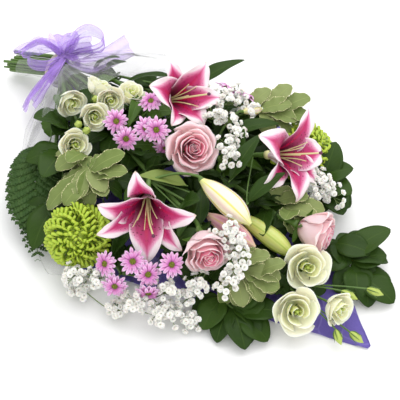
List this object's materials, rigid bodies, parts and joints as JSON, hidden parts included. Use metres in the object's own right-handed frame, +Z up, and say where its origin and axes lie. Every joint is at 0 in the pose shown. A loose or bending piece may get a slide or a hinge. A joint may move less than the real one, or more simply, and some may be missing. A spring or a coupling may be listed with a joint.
{
  "type": "mixed flower bouquet",
  "caption": "Hand-tied mixed bouquet lying down: lilies, roses, lisianthus, chrysanthemums, gypsophila and foliage in clear film and tissue, tied with a ribbon bow.",
  "frame": {"origin": "on the surface that the bouquet lies on, at the middle of the flat of the wrapping film", "axes": "+X from the cut stems to the flower tips, +Y to the bouquet's right when seen from above with its tips ahead turned left, +Z up"},
  "size_m": [0.7081, 0.4663, 0.196],
  "materials": {
    "film": "thin clear film with soft creases",
    "tissue": "matte violet tissue paper",
    "ribbon": "sheer lilac organza",
    "string": "matte twine",
    "stem": "smooth green stems and leaves",
    "lily_petal": "magenta petals with white margins",
    "rose_petal": "pale pink satin petals",
    "lisianthus_petal": "cream petals with a green heart",
    "green_bloom": "yellow-green quills",
    "pink_daisy": "pink-mauve petals",
    "gypsophila": "small white blooms",
    "leaf_sage": "sage leaves with cream margins",
    "leaf_dark": "glossy dark green leaves",
    "leaf_broad": "satin green leaves",
    "fern": "matte green frond",
    "bud_cream": "cream bud",
    "bud_lime": "lime bud",
    "bud_pink": "pink bud"
  },
  "bodies": {
    "root": {"film_wrap": "film", "tissue_sheet": "tissue", "binding_tie": "string", "ribbon_bow": "ribbon", "lily_1_petals": "lily_petal", "lily_2_petals": "lily_petal", "lily_3_petals": "lily_petal", "lily_bud_1": "bud_cream", "lily_bud_2": "bud_lime", "lily_bud_3": "bud_pink", "lily_bud_4": "bud_lime", "rose_1_petals": "rose_petal", "rose_2_petals": "rose_petal", "rose_3_petals": "rose_petal", "lisianthus_bloom_1": "lisianthus_petal", "lisianthus_bloom_2": "lisianthus_petal", "lisianthus_bloom_3": "lisianthus_petal", "lisianthus_bloom_4": "lisianthus_petal", "lisianthus_bloom_5": "lisianthus_petal", "lisianthus_bloom_6": "lisianthus_petal", "lisianthus_bloom_7": "lisianthus_petal", "lisianthus_bloom_8": "lisianthus_petal", "lisianthus_bloom_9": "lisianthus_petal", "chrysanthemum_green_1": "green_bloom", "chrysanthemum_green_2": "green_bloom", "lily_1_stem": "stem", "lily_2_stem": "stem", "lily_3_stem": "stem", "rose_1_stem": "stem", "rose_2_stem": "stem", "rose_3_stem": "stem", "chrysanthemum_green_stem_1": "stem", "chrysanthemum_green_stem_2": "stem", "lisianthus_stem_1": "stem", "lisianthus_stem_2": "stem", "lisianthus_stem_3": "stem", "chrysanthemum_pink_spray_1": "pink_daisy", "chrysanthemum_pink_spray_2": "pink_daisy", "chrysanthemum_pink_spray_3": "pink_daisy", "gypsophila_spray_1": "gypsophila", "gypsophila_spray_2": "gypsophila", "gypsophila_spray_3": "gypsophila", "gypsophila_spray_4": "gypsophila", "pittosporum_1": "leaf_sage", "pittosporum_2": "leaf_sage", "pittosporum_3": "leaf_sage", "pittosporum_4": "leaf_sage", "ruscus_1": "leaf_dark", "ruscus_2": "leaf_dark", "ruscus_3": "leaf_dark", "broad_leaves": "leaf_broad", "fern_1": "fern", "fern_2": "fern"}
  },
  "joints": []
}
